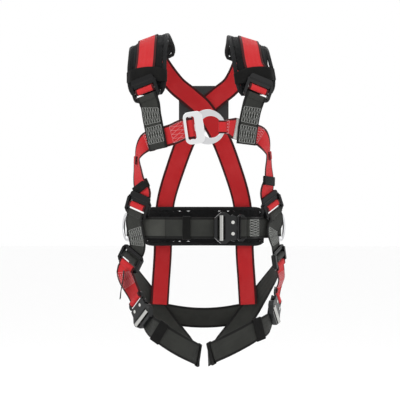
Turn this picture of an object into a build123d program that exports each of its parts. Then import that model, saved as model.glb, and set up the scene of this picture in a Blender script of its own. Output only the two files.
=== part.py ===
from build123d import *
from math import cos, pi, radians, sin, sqrt
import os

# Full-body safety harness, hung on its wearer. Millimetres and degrees.
# +Z is up, the front faces -Y, and the wearer's right side is at -X.
# The origin is the centre of the waist belt's loop, at the belt's mid height.

# Webbing and padding
webbing_width = 45
webbing_thick = 2
pad_width = 90
pad_thick = 10
lumbar_height = 86
lumbar_thick = 9
layer_gap = 0.4            # air between two layers that lie on each other
keeper_thick = 1.2

# Wearer's form that the straps lie on: height, half width, half depth
form_rows = [(-320, 153, 104), (-190, 166, 112), (-100, 162, 116), (0, 151, 107), (85, 144, 102),
             (165, 152, 112), (250, 180, 110), (320, 197, 102)]
shoulder_level = 320
shoulder_rise = 98

# Strap adjuster
adjuster_margin = 7        # cheek outside the webbing slot
slot_play = 3              # slot longer than the webbing is wide
adjuster_height = 42
adjuster_plate = 4
window_height = 26
crown_height = 20          # arched top of an adjuster, above the wrapped bar
crown_low = 8.4
cheek_thick = 10
bar_radius = 3
bar_travel = 2.5
bar_height = -1            # bar's rest height in the window
run_gap = 0.3              # air round a piece that slides or swings

# Quick-connect buckle
buckle_width = 66.5
buckle_back = 23.8         # from the middle to the webbing end
buckle_neck = 50
plate_thick = 2.5
cavity = 6
rib_width = 6
rib_place = -9             # along the strap, from the middle
grip_radius = 4.6
grip_rise = 2              # bar's middle above the cover's inner face
pivot_across = 12
pivot_along = 15.4
rivet_radius = 2.5
pivot_gap = 0.1
lever_thick = 4.4
lever_swing = 12
tongue_thick = 3.4
tongue_width = 57
tongue_reach = 42
tongue_start = 26          # its wide plate begins, just past the buckle
nose_half = 5.5
head_half = 8

# Rings and sternal link
side_ring_rod = 3
side_ring_tall = 63
side_ring_deep = 50
back_ring_rod = 5
back_ring_wide = 72
back_ring_tall = 62
chest_ring_outer = 36.75
chest_ring_hole = 23
chest_ring_offset = 6      # hole is nearer to the strap side
chest_ring_thick = 4
ring_rim = 7
link_step = 2.6            # hook plate's face from the ring's middle
hook_length = 68
hook_width = 41
hook_thick = 4
slot_width = 17
slot_across = -6
strap_bar_deep = -2.6      # middle of the hook's strap bar
gate_travel = 15

# Dorsal plate
dorsal_wide = 112
dorsal_tall = 96
dorsal_thick = 4
ring_stand = 11            # dorsal ring's bar above the plate's inner face
lug_apart = 32
lug_width = 9
lug_wall = 4

FRONT, BACK = -1, 1
upright = (Align.CENTER, Align.CENTER, Align.MIN)


def seat(x, y, z, facing, roll):
    """Plane for a fitting: X across the strap, Y along it, Z away from the wearer."""
    f, r = radians(facing), radians(roll)
    out = Vector(sin(f), -cos(f), 0)
    across = Vector(cos(f) * cos(r), sin(f) * cos(r), sin(r))
    return Plane(origin=(x, y, z), x_dir=across, z_dir=out)


# ---------------------------------------------------------------- straps
def form(z):
    """Half width and half depth of the wearer at a height."""
    if z <= form_rows[0][0]:
        return form_rows[0][1:]
    for (z0, a0, b0), (z1, a1, b1) in zip(form_rows, form_rows[1:]):
        if z <= z1:
            t = (z - z0) / (z1 - z0)
            return a0 + (a1 - a0) * t, b0 + (b1 - b0) * t
    return form_rows[-1][1:]


def outward(p):
    """Direction away from the wearer at a point."""
    a, b = form(p.Z)
    rise = max(0, p.Z - shoulder_level) / shoulder_rise ** 2
    return Vector(p.X / a ** 2, p.Y / b ** 2, rise).normalized()


def on(side, x, z, lift, turn=0):
    """Point of a strap on the wearer's front or back; turn swings its face about Z."""
    a, b = form(z)
    rise = max(0, z - shoulder_level) / shoulder_rise
    p = Vector(x, side * b * sqrt(max(0.01, 1 - (x / a) ** 2 - rise ** 2)), z)
    out = outward(p).rotate(Axis.Z, turn)
    return p + out * lift, out


def over(x, swing, lift, drop=0):
    """Point of a strap on the shoulder: swing runs from 0 in front to 180 behind."""
    a, b = form(shoulder_level)
    k = sqrt(1 - (x / a) ** 2)
    height = (shoulder_rise * k - drop) * sin(radians(swing))
    p = Vector(x, -b * k * cos(radians(swing)), shoulder_level + height)
    out = outward(p)
    return p + out * lift, out


def around(angle, z, lift, turn=0):
    """Point of a strap at an angle round the wearer: 0 front, 90 at +X, 180 behind."""
    a, b = form(z)
    p = Vector(a * sin(radians(angle)), -b * cos(radians(angle)), z)
    out = outward(p).rotate(Axis.Z, turn)
    return p + out * lift, out


def free(x, y, z, facing, pitch=0):
    """Point of a strap that stands clear of the wearer."""
    f, q = radians(facing), radians(pitch)
    return Vector(x, y, z), Vector(sin(f) * cos(q), -cos(f) * cos(q), sin(q))


# ---------------------------------------------------------------- seats of the fittings
shoulder_seats = {"r": seat(-124, -103, 291, -20, 19), "l": seat(114, -107, 292, 18, -20)}
hip_seats = {"r": seat(-141, -66, 45, -36, -19), "l": seat(146, -62, 46, 48, 26)}
thigh_seats = {"r": seat(-157, -56, -67, -38, -32), "l": seat(161, -48, -64, 66, 20)}
leg_seats = {"r": seat(-132, -89, -183, -52, 40), "l": seat(152, -68, -177, 72, -42)}
waist_seat = seat(45, -122, 0, 8, -90)
chest_ring_seat = seat(8, -126, 212, 0, 0)
hook_seat = seat(-21, -126, 210, 0, 8)
chest_loop_seat = seat(38.7, -126, 212, 0, -90)
dorsal_seat = seat(0, 120.5, 268, 180, 0)
belt_side = 6              # belt's mid plane off the wearer at the flanks
ring_loop_lift = belt_side + side_ring_rod + 1.5 * webbing_thick + 0.2
side_ring_angle = 84
side_ring_headings = {"r": 108, "l": 72}    # where each ring points at rest, from +X about +Z
side_ring_seats = {}
for key, turn in (("r", -1), ("l", 1)):
    spot = around(turn * side_ring_angle, 0, ring_loop_lift)[0]
    heading = radians(side_ring_headings[key])
    normal = (sin(heading), -cos(heading), 0)
    side_ring_seats[key] = Plane(origin=spot, x_dir=(0, 0, 1), z_dir=normal)


def at(place, along, height, across=0):
    """Point of a strap in a fitting."""
    return place.from_local_coords(Vector(across, along, height)), place.z_dir


def smooth(route, steps):
    """Even steps along a smooth curve through the route's points, with their facings."""
    points = [p for p, _ in route]
    points = [points[0] * 2 - points[1]] + points + [points[-1] * 2 - points[-2]]
    line = []
    for i in range(1, len(points) - 2):
        p0, p1, p2, p3 = points[i - 1:i + 3]
        reach = (p2 - p1).length
        before = (p2 - p0) * (reach / max(1e-6, (p1 - p0).length + reach))
        after = (p3 - p1) * (reach / max(1e-6, (p3 - p2).length + reach))
        out0, out1 = route[i - 1][1], route[i][1]
        count = max(2, round(reach / steps))
        for j in range(count + (i == len(points) - 3)):
            t = j / count
            a, b = 2 * t ** 3 - 3 * t ** 2 + 1, t ** 3 - 2 * t ** 2 + t
            c, d = 3 * t ** 2 - 2 * t ** 3, t ** 3 - t ** 2
            line.append((p1 * a + before * b + p2 * c + after * d, out0 * (1 - t) + out1 * t))
    return line


def ribbon(route, width=webbing_width, thick=webbing_thick, ends=1, steps=16):
    """Flat band along a route; ends is the share of the width left at its two ends."""
    line = smooth(route, steps)
    wires = []
    for i, (p, out) in enumerate(line):
        ahead = line[min(i + 1, len(line) - 1)][0] - line[max(i - 1, 0)][0]
        along = ahead.normalized()
        normal = (out - along * out.dot(along)).normalized()
        side = along.cross(normal)
        share = ends + (1 - ends) * min(1, min(i, len(line) - 1 - i) / 2)
        w, n = side * (width * share / 2), normal * (thick / 2)
        wires.append(Wire.make_polygon([p - w - n, p + w - n, p + w + n, p - w + n], close=True))
    return Solid.make_loft(wires, ruled=True)


def loop(place, along, height, inner_high, inner_deep, width=webbing_width, across=0):
    """Fold of webbing round a bar: a flat ring as long as the webbing is wide."""
    inner = (inner_high, inner_deep)
    outer = (inner_high + 2 * webbing_thick, inner_deep + 2 * webbing_thick)
    ring = RectangleRounded(*outer, min(outer) * 0.49) - RectangleRounded(*inner, min(inner) * 0.49)
    ring = extrude(Plane.YZ * ring, width / 2, both=True)
    return place.location * (Pos(across, along, height) * ring)


def keeper(spot, length, layers):
    """Elastic band round the layers of a strap."""
    p, out, along = spot
    out = (out - along * out.dot(along)).normalized()
    place = Plane(origin=p, x_dir=along.cross(out), z_dir=out)
    deep = layers * webbing_thick + 2
    outline = RectangleRounded(webbing_width + 5, deep + 2 * keeper_thick, 1.6)
    band = extrude(outline - Rectangle(webbing_width + 2, deep), length / 2, both=True)
    return place.location * Rot(90, 0, 0) * band


# ---------------------------------------------------------------- adjusters
slot_long = webbing_width + slot_play
adjuster_long = slot_long + 2 * adjuster_margin
lower_bar = -(window_height + adjuster_height) / 4
strap_depth = bar_radius + run_gap + webbing_thick / 2   # webbing's mid plane behind the bar


def adjuster_frame(crowned=True):
    plate = RectangleRounded(adjuster_long, adjuster_height, 9)
    plate -= RectangleRounded(slot_long, window_height, 3)
    if crowned:
        plate += Pos(0, crown_low + crown_height / 2) * RectangleRounded(slot_long + 6, crown_height, 7)
    frame = extrude(plate, adjuster_plate / 2, both=True)
    frame += Pos(0, -lower_bar, 0) * Rot(0, 90, 0) * Cylinder(adjuster_plate * 0.7, slot_long + 2)
    cheek_wide = adjuster_margin - 0.6
    for side in (-1, 1):
        cheek = extrude(RectangleRounded(cheek_wide, window_height + 4, 3), cheek_thick / 2, both=True)
        frame += Pos(side * (slot_long + cheek_wide) / 2, 0, 0) * cheek
        reach = adjuster_margin - 3
        hole = Box(reach + 1, 2 * (bar_radius + run_gap) + bar_travel, 2 * (bar_radius + run_gap))
        frame -= Pos(side * (slot_long / 2 + reach / 2 - 0.5), bar_height + bar_travel / 2, 0) * hole
    return frame


def adjuster_bar():
    length = slot_long + 2 * (adjuster_margin - 3) - 0.8
    return Pos(0, bar_height, 0) * Rot(0, 90, 0) * Cylinder(bar_radius, length)


def bar_loop(place):
    """Webbing folded round the sliding bar, with room for its travel."""
    high = 2 * (bar_radius + run_gap) + bar_travel
    return loop(place, bar_height + bar_travel / 2, 0, high, 2 * (bar_radius + run_gap))


def frame_loop(place):
    """Webbing folded round an adjuster's lower bar."""
    high = (adjuster_height - window_height) / 2 + 2.4
    return loop(place, lower_bar, 0, high, adjuster_plate + 1)


# ---------------------------------------------------------------- buckles
base_low = -7
base_top = base_low + plate_thick
cover_low = base_top + cavity
cover_top = cover_low + plate_thick
lever_low = base_top + (cavity - lever_thick) / 2
tongue_low = base_top + (cavity - tongue_thick) / 2
tongue_mid = tongue_low + tongue_thick / 2
rib_loop_mid = (base_low + base_top) / 2
buckle_front = 23.8
tongue_bar = tongue_reach - 3.5


def buckle_outline(inset=0):
    half, neck = buckle_width / 2 - inset, buckle_neck / 2 - inset
    shape = Polygon((-20, -buckle_back + inset), (20, -buckle_back + inset), (half, -9), (half, 0),
                    (neck + 1, 10), (neck, buckle_front - inset), (-neck, buckle_front - inset),
                    (-neck - 1, 10), (-half, 0), (-half, -9), align=None)
    return fillet(shape.vertices(), 3.5)


def slab(sketch, low, high):
    return Pos(0, 0, low) * extrude(sketch, high - low, dir=(0, 0, 1))


def rivet_holes():
    hole = Cylinder(rivet_radius + 0.05, 40)
    return [Pos(side * pivot_across, pivot_along, 0) * hole for side in (-1, 1)]


def buckle_housing():
    body = slab(buckle_outline(), base_low, base_top)
    wall = buckle_outline() - buckle_outline(2.5)
    wall -= Pos(0, 14.5) * Rectangle(buckle_width + 4, 25)
    body += slab(wall, base_top, cover_low)
    slot = 7
    for side in (-1, 1):
        middle_at = rib_place + side * (rib_width + slot) / 2
        body -= Pos(0, middle_at, base_low) * Box(slot_long, slot, 3 * plate_thick)
    body -= Pos(0, -buckle_back, base_low) * Box(slot_long, 8, 2 * plate_thick - 2)
    for hole in rivet_holes():
        body -= hole
    return body


def buckle_cover():
    cover = slab(buckle_outline(), cover_low, cover_top)
    cover = chamfer(cover.faces().sort_by(Axis.Z)[-1].edges(), 0.9)
    cover -= Pos(0, rib_place, cover_low) * Box(slot_long + 1, 17, 3 * plate_thick)
    seat_of_grip = Rot(0, 90, 0) * Cylinder(grip_radius + 0.1, slot_long + 5.4)
    cover -= Pos(0, rib_place, cover_low + grip_rise) * seat_of_grip
    for hole in rivet_holes():
        cover -= hole
    return cover


def buckle_grip():
    return Pos(0, rib_place, cover_low + grip_rise) * Rot(0, 90, 0) * Cylinder(grip_radius, slot_long + 5)


def buckle_lever(side):
    edge = buckle_neck / 2
    shape = Polygon((8, 19), (13, 20.4), (edge - 1, 20.4), (edge + 2.5, 18.5), (edge + 3.3, 15.5),
                    (edge + 1, 12.5), (17, 11.5), (13.5, 9), (11, 4.6), (6, 4.4), (6, 8), (8.4, 10.5),
                    align=None)
    shape = fillet(shape.vertices().group_by(Axis.X)[-1], 1.2)
    lever = slab(shape, lever_low, lever_low + lever_thick)
    lever -= Pos(pivot_across, pivot_along, 0) * Cylinder(rivet_radius + pivot_gap, 40)
    return lever if side > 0 else mirror(lever, Plane.YZ)


def buckle_tongue():
    middle_at = (tongue_start + tongue_reach) / 2
    plate = Pos(0, middle_at) * RectangleRounded(tongue_width, tongue_reach - tongue_start, 7)
    plate -= Pos(0, tongue_bar - 3 - 3.5) * RectangleRounded(slot_long, 7, 2)
    plate += Pos(0, 15) * Rectangle(2 * nose_half, 26)
    plate += Pos(0, 1.5) * RectangleRounded(2 * head_half, 3, 1)
    return slab(plate, tongue_low, tongue_low + tongue_thick)


def buckle_rivets():
    rivets = []
    for side in (-1, 1):
        shank = Cylinder(rivet_radius, cover_top - base_low, align=upright)
        head = Cylinder(rivet_radius + 1.1, 1, align=upright)
        rivet = Pos(0, 0, base_low) * shank + Pos(0, 0, cover_top) * head
        rivets.append(Pos(side * pivot_across, pivot_along, 0) * rivet)
    return rivets


def lever_springs():
    leaves = []
    for side in (-1, 1):
        leaves.append(Pos(side * 17.5, 6, base_top) * Box(0.6, 7, 4, align=upright))
    return leaves


def rib_loop(place):
    return loop(place, rib_place, rib_loop_mid, rib_width + 2, plate_thick + 1.1)


def tongue_loop(place):
    return loop(place, tongue_bar + 0.25, tongue_mid, 8.6, tongue_thick + 1)


rib_back = rib_loop_mid - plate_thick / 2 - 0.55 - webbing_thick / 2    # webbing's mid plane behind the rib
tongue_back = tongue_mid - tongue_thick / 2 - 0.5 - webbing_thick / 2


# ---------------------------------------------------------------- rings and sternal link
def rod_ring(wide, tall, rod):
    """D-shaped ring: straight bar along X through the origin, round bow towards -Y."""
    half = wide / 2 - rod
    straight = tall - 2 * rod - half
    corner = 6
    path = Line((0, 0), (half - corner, 0))
    path += RadiusArc((half - corner, 0), (half, -corner), corner)
    path += Line((half, -corner), (half, -straight))
    path += ThreePointArc((half, -straight), (0, -straight - half), (-half, -straight))
    path += Line((-half, -straight), (-half, -corner))
    path += RadiusArc((-half, -corner), (corner - half, 0), corner)
    path += Line((corner - half, 0), (0, 0))
    return sweep(Plane.YZ * Circle(rod), Wire(path.edges()))


def chest_ring():
    """Flat ring with an offset hole, cut straight on the hook's side."""
    plate = Circle(chest_ring_outer) - Pos(chest_ring_offset, 0) * Circle(chest_ring_hole)
    flat = chest_ring_hole - chest_ring_offset + ring_rim
    plate -= Pos(-flat - chest_ring_outer, 0) * Rectangle(2 * chest_ring_outer, 3 * chest_ring_outer)
    ring = extrude(plate, chest_ring_thick / 2, both=True)
    return fillet(ring.edges(), 1.2)


def ring_edge_from_hook():
    """Where the ring's hole ends, across from the hook's middle."""
    return chest_ring_seat.origin.X - (chest_ring_hole - chest_ring_offset) - hook_seat.origin.X


def chest_hook():
    """Slotted plate in front of the ring; behind it a bar for the strap and a leg round the ring's rim."""
    leaf = RectangleRounded(hook_width, hook_length, 12)
    leaf -= Pos(slot_across, 0) * RectangleRounded(slot_width, slot_long, 4)
    hook = slab(leaf, link_step, link_step + hook_thick)
    hook = fillet(hook.edges().group_by(Axis.Z)[-1], 1.2)
    bar = extrude(RectangleRounded(6, hook_length - 8, 2), 1.5, both=True)
    hook += Pos(slot_across, 0, strap_bar_deep) * bar
    for side in (-1, 1):
        post = Box(6, 7, link_step - strap_bar_deep + 1, align=upright)
        hook += Pos(slot_across, side * (hook_length - 15) / 2, strap_bar_deep) * post
    rim_edge = ring_edge_from_hook()
    hook += Pos(rim_edge + 6.6, 0, 0) * slab(RectangleRounded(5, 18, 2), -link_step - 3, link_step + 1)
    leg = Pos(rim_edge - 0.5, 0, 0) * RectangleRounded(19, 18, 3)
    hook += slab(leg, -link_step - 3, -link_step)
    return hook


def hook_gate():
    """Sliding leaf that shuts the mouth between the leg and the plate."""
    rim_edge = ring_edge_from_hook()
    return Pos(rim_edge - ring_rim - 2.6, 0, 0) * Box(2, 14, 2 * link_step - 0.8)


# ---------------------------------------------------------------- strap routes
on_pad = pad_thick + 2 + layer_gap + webbing_thick / 2
under = 2.2
middle = under + webbing_thick + layer_gap
upper = middle + webbing_thick + layer_gap
web_lift = upper + webbing_thick + layer_gap
on_lumbar = lumbar_thick + 3
pad_lift = 1 + pad_thick / 2
shoulder_drop = 10         # the wearer's left shoulder sits lower
past_bar = lower_bar - 6.6
past_loop = past_bar - 0.7    # just outside the fold on the lower bar
sides = {"r": -1, "l": 1}


def back_strap(side, crossing):
    """Rest of a shoulder strap: across the back, over the belt and down to the leg strap."""
    return [on(BACK, side * 62, 318, 9), on(BACK, side * 30, 290, crossing), on(BACK, 0, 262, crossing),
            on(BACK, -side * 34, 205, crossing), on(BACK, -side * 62, 130, middle),
            on(BACK, -side * 78, 60, on_lumbar + 3), on(BACK, -side * 84, 0, on_lumbar + 3),
            on(BACK, -side * 88, -60, on_lumbar - 3), on(BACK, -side * 94, -125, middle),
            on(BACK, -side * 97, -175, middle)]


shoulder_lines = {
    "r": [on(FRONT, -119, 345, 0), over(-117, 55, 0), over(-116, 90, 0), over(-108, 125, 0),
          over(-98, 150, 0)],
    "l": [on(FRONT, 102, 342, 0), over(95, 55, 0, shoulder_drop), over(92, 90, 0, shoulder_drop),
          over(90, 125, 0, shoulder_drop), over(84, 150, 0, shoulder_drop)],
}
pad_starts = {"r": [on(FRONT, -119, 282, 0), on(FRONT, -119, 312, 0)],
              "l": [on(FRONT, 110, 282, 0), on(FRONT, 107, 312, 0)]}


def lifted(line, lift):
    return [(p + out * lift, out) for p, out in line]


shoulder_routes, pad_routes = {}, {}
for s, side in sides.items():
    ends = [at(shoulder_seats[s], bar_height + 3, -strap_depth),
            at(shoulder_seats[s], 24, -strap_depth, -side)]
    over_shoulder = lifted(shoulder_lines[s], on_pad)
    shoulder_routes[s] = ends + over_shoulder + back_strap(side, under if side < 0 else upper)
    pad_routes[s] = lifted(pad_starts[s] + shoulder_lines[s], pad_lift)
chest_web_routes = {
    "r": [at(shoulder_seats["r"], past_bar, 0), at(shoulder_seats["r"], past_bar - 10, 0),
          on(FRONT, -106, 235, web_lift), on(FRONT, -99, 200, web_lift), on(FRONT, -92, 166, web_lift)],
    "l": [at(shoulder_seats["l"], past_bar, 0), at(shoulder_seats["l"], past_bar - 10, 0),
          on(FRONT, 94, 237, web_lift), on(FRONT, 89, 208, web_lift), on(FRONT, 85, 176, web_lift)],
}
strap_bar_back = strap_bar_deep - 1.5 - 0.5 - webbing_thick / 2
hook_loop_seat = Plane(origin=at(hook_seat, 0, strap_bar_deep, slot_across)[0], x_dir=-hook_seat.y_dir,
                       z_dir=hook_seat.z_dir)
chest_strap_routes = {
    "r": [at(hook_seat, 0, strap_bar_back, slot_across - 1),
          at(hook_seat, 0, strap_bar_back, slot_across - 16), on(FRONT, -62, 198, middle + 3),
          on(FRONT, -80, 193, middle), on(FRONT, -98, 188, middle)],
    "l": [at(chest_loop_seat, 2, -3.6), at(chest_loop_seat, 14, -3.6), on(FRONT, 66, 209, middle + 2),
          on(FRONT, 80, 206, middle), on(FRONT, 97, 202, middle)],
}
side_strap_routes = {
    "r": [on(FRONT, -106, 186, under - 0.8), on(FRONT, -124, 180, under - 0.4), free(-142, -64, 150, -76),
          free(-141, -63, 120, -64), free(-138, -64, 96, -54), at(hip_seats["r"], 30, -strap_depth),
          at(hip_seats["r"], bar_height + 3, -strap_depth)],
    "l": [on(FRONT, 104, 199, under - 0.8), on(FRONT, 121, 192, under - 0.4), free(137, -66, 160, 78),
          free(138, -62, 125, 68), free(139, -60, 96, 60), at(hip_seats["l"], 30, -strap_depth),
          at(hip_seats["l"], bar_height + 3, -strap_depth)],
}
hip_web_routes = {
    "r": [at(hip_seats["r"], past_bar, 0), at(hip_seats["r"], past_bar - 10, 0), free(-146, -63, -10, -38),
          at(thigh_seats["r"], 30, -strap_depth), at(thigh_seats["r"], bar_height + 3, -strap_depth)],
    "l": [at(hip_seats["l"], past_bar, 0), at(hip_seats["l"], past_bar - 10, 0), free(147, -58, -8, 56),
          at(thigh_seats["l"], 30, -strap_depth), at(thigh_seats["l"], bar_height + 3, -strap_depth)],
}
thigh_strap_routes = {
    "r": [at(thigh_seats["r"], past_loop, 0), at(thigh_seats["r"], past_bar - 10, 0),
          free(-165, -51, -112, -38), at(leg_seats["r"], tongue_bar + 16, tongue_back),
          at(leg_seats["r"], tongue_bar - 1, tongue_back)],
    "l": [at(thigh_seats["l"], past_loop, 0), at(thigh_seats["l"], past_bar - 8, 0),
          free(167, -36, -112, 70), at(leg_seats["l"], tongue_bar + 16, tongue_back),
          at(leg_seats["l"], tongue_bar - 1, tongue_back)],
}
leg_strap_routes = {
    "r": [at(leg_seats["r"], rib_place + 1, rib_back), at(leg_seats["r"], -31, rib_back),
          free(-101, -118, -214, -34),
          free(-76, -123, -231, -14), free(-46, -112, -250, 8), free(-20, -84, -266, 34),
          free(-10, -42, -276, 62), free(-14, 10, -280, 100), free(-40, 66, -262, 150),
          free(-84, 106, -214, 176), free(-122, 92, -158, 222),
          free(-150, 52, -112, 252), free(-163, 12, -84, 272)],
    "l": [at(leg_seats["l"], rib_place + 1, rib_back), at(leg_seats["l"], -31, rib_back),
          free(124, -104, -210, 46), free(106, -115, -217, 28),
          free(84, -121, -229, 14), free(49, -112, -248, -8), free(21, -84, -264, -34),
          free(10, -42, -275, -62), free(14, 10, -280, -100), free(40, 66, -262, -150),
          free(84, 106, -214, -176), free(122, 92, -158, -222),
          free(150, 52, -112, -252), free(165, 12, -84, -275)],
}
belt_route = [at(waist_seat, rib_place - 1, rib_back - 1.7),
              at(waist_seat, -30, rib_back - webbing_thick - layer_gap),
              on(FRONT, -8, 0, 8), on(FRONT, -45, 0, 5), on(FRONT, -85, 0, under)]
belt_route += [around(-angle, 0, belt_side) for angle in (58, 78, 98)]
belt_route += [around(angle, 0, on_lumbar) for angle in (-120, -140, -160, 180, 160, 140, 120)]
belt_route += [around(angle, 0, belt_side) for angle in (98, 78, 62)]
fold = webbing_thick + layer_gap + 0.2
belt_tail_route = [at(waist_seat, rib_place - 1, rib_back), at(waist_seat, -30, rib_back),
                   on(FRONT, -8, 0, 8 + fold), on(FRONT, -45, 0, 5 + fold),
                   on(FRONT, -80, 0, under + fold + 0.4)]
tab_route = [at(waist_seat, tongue_bar + 2, tongue_back), at(waist_seat, tongue_bar + 18, tongue_back),
             on(FRONT, 112, 0, belt_side + 3), around(62, 0, belt_side + fold),
             around(70, 0, belt_side + fold)]
lumbar_route = [around(angle, 0, 1.5 + lumbar_thick / 2) for angle in (-122, -140, -160, 180, 160, 140, 122)]
seat_half = 82
seat_route = []
for x in (-82, -55, -28, 0, 28, 55, 82):
    bow = (x / seat_half) ** 2
    seat_route.append(on(BACK, x, -206 + 10 * bow, 3 + 11 * bow))


def along_route(route, share):
    """Point, facing and direction at a share of a route."""
    line = smooth(route, 8)
    i = max(1, min(len(line) - 2, round(share * (len(line) - 1))))
    return line[i][0], line[i][1], (line[i + 1][0] - line[i - 1][0]).normalized()


def dorsal_plate():
    """Back plate over the crossed straps, with two lugs for the ring's bar."""
    plate = slab(RectangleRounded(dorsal_wide, dorsal_tall, 22), 0, dorsal_thick)
    plate = fillet(plate.edges().group_by(Axis.Z)[-1], 1.5)
    for side in (-1, 1):
        lug = extrude(Plane.YZ * lug_outline(), lug_width / 2, both=True)
        plate += Pos(side * lug_apart / 2, 0, 0) * lug
    plate -= Pos(0, 0, ring_stand) * Rot(0, 90, 0) * Cylinder(back_ring_rod + 0.1, dorsal_wide + 10)
    return plate


def lug_outline():
    radius = back_ring_rod + lug_wall
    return Pos(0, ring_stand) * Circle(radius) + Pos(0, ring_stand / 2) * Rectangle(2 * radius, ring_stand)


# ---------------------------------------------------------------- assembly
parts = {}
rivets, springs = [], []
for s in sides:
    shoulder, hip, thigh, leg = shoulder_seats[s], hip_seats[s], thigh_seats[s], leg_seats[s]
    parts["shoulder_strap_" + s] = ribbon(shoulder_routes[s]) + bar_loop(shoulder)
    parts["shoulder_pad_" + s] = ribbon(pad_routes[s], pad_width, pad_thick, 0.7)
    parts["chest_web_" + s] = ribbon(chest_web_routes[s], thick=2 * webbing_thick) + frame_loop(shoulder)
    parts["side_strap_" + s] = ribbon(side_strap_routes[s], ends=0.9) + bar_loop(hip)
    parts["hip_web_" + s] = ribbon(hip_web_routes[s]) + frame_loop(hip) + bar_loop(thigh)
    thigh_run = ribbon(thigh_strap_routes[s]) + tongue_loop(leg)
    parts["thigh_strap_" + s] = Compound(children=[thigh_run, frame_loop(thigh)])
    parts["leg_strap_" + s] = ribbon(leg_strap_routes[s]) + rib_loop(leg)
    for name, place in (("shoulder", shoulder), ("hip", hip), ("thigh", thigh)):
        parts[name + "_adjuster_" + s] = place.location * adjuster_frame(name != "thigh")
        parts[name + "_bar_" + s] = place.location * adjuster_bar()
    ring = rod_ring(side_ring_tall, side_ring_deep, side_ring_rod)
    parts["side_ring_" + s] = side_ring_seats[s].location * ring

hook_loop = loop(hook_loop_seat, 0, 0, 8, 4)
parts["chest_strap_r"] = ribbon(chest_strap_routes["r"]) + hook_loop
ring_loop = loop(chest_loop_seat, 0, 0, 13, chest_ring_thick + 1.2, 27)
parts["chest_strap_l"] = ribbon(chest_strap_routes["l"], ends=0.6) + ring_loop

parts["waist_belt"] = ribbon(belt_route) + ribbon(belt_tail_route) + rib_loop(waist_seat)
for place in side_ring_seats.values():
    room = 2 * side_ring_rod + 1.2
    parts["waist_belt"] += loop(place, 0, 0, room, room, webbing_width - 5)
parts["waist_tab"] = ribbon(tab_route) + tongue_loop(waist_seat)
parts["lumbar_pad"] = ribbon(lumbar_route, lumbar_height, lumbar_thick, 0.75)
parts["seat_strap"] = ribbon(seat_route)
keepers = [keeper(along_route(belt_tail_route, 0.6), 17, 3)]
for s in sides:
    keepers += [keeper(along_route(leg_strap_routes[s], share), 22, 1) for share in (0.1, 0.32)]
    keepers.append(keeper(along_route(side_strap_routes[s], 0.62), 17, 1))
parts["strap_keepers"] = Compound(children=keepers)

for name, place in (("waist", waist_seat), ("leg_r", leg_seats["r"]), ("leg_l", leg_seats["l"])):
    parts[name + "_buckle_housing"] = place.location * buckle_housing()
    parts[name + "_buckle_cover"] = place.location * buckle_cover()
    parts[name + "_buckle_tongue"] = place.location * buckle_tongue()
    parts[name + "_buckle_grip"] = place.location * buckle_grip()
    parts[name + "_lever_a"] = place.location * buckle_lever(1)
    parts[name + "_lever_b"] = place.location * buckle_lever(-1)
    rivets += [place.location * rivet for rivet in buckle_rivets()]
    springs += [place.location * spring for spring in lever_springs()]
parts["buckle_rivets"] = Compound(children=rivets)
parts["lever_springs"] = Compound(children=springs)

parts["sternal_ring"] = chest_ring_seat.location * chest_ring()
parts["sternal_hook"] = hook_seat.location * chest_hook()
parts["hook_gate"] = hook_seat.location * hook_gate()
parts["dorsal_plate"] = dorsal_seat.location * dorsal_plate()
ring_place = dorsal_seat.location * Pos(0, 0, ring_stand)
parts["dorsal_ring"] = ring_place * rod_ring(back_ring_wide, back_ring_tall, back_ring_rod)

os.makedirs("parts", exist_ok=True)
for name, shape in parts.items():
    export_step(shape, "parts/" + name + ".step")
print(len(parts), "parts")
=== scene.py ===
# Full-body safety harness: webbing, pads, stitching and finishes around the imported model.
import math
from bisect import bisect_right

import bpy
from mathutils import Matrix, Vector, kdtree, noise


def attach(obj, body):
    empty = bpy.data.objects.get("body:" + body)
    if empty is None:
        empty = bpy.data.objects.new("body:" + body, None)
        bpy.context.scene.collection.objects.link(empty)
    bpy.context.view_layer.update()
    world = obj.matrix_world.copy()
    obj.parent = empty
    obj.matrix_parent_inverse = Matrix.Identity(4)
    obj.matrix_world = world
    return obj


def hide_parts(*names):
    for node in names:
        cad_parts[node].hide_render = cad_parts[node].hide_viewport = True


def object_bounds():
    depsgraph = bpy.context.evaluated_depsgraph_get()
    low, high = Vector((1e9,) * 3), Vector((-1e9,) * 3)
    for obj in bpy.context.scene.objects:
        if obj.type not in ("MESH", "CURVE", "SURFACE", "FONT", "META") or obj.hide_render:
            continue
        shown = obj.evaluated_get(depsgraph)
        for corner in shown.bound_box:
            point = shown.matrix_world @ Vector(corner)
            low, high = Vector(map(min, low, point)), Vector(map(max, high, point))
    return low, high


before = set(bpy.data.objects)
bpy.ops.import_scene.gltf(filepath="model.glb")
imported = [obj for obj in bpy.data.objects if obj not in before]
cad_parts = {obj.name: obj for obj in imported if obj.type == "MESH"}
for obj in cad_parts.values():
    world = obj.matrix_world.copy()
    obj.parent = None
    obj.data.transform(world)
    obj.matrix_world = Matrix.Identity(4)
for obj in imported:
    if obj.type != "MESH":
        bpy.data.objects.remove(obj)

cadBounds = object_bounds()
mm = 0.001    # lengths and places below are millimetres, meshes are metres


# ---- camera, lights and floor
cameraSetup = {"place": (-8.4, -3420, 58.8), "lens": 141.4, "sensor": 36}
lightSetup = {
    "key": {"place": (-1700, -2300, 1900), "size": 1500, "power": 24},
    "fill": {"place": (2300, -1900, 700), "size": 2000, "power": 9},
    "back": {"place": (400, 2300, 1500), "size": 1800, "power": 16},
    "top": {"place": (0, -200, 2500), "size": 1500, "power": 9},
}
stageSetup = {"floorBelow": 330, "floorSize": 40000, "world": (1, 1, 1), "worldStrength": 1.0}


def toMetres(point):
    return Vector(point) * mm


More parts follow.
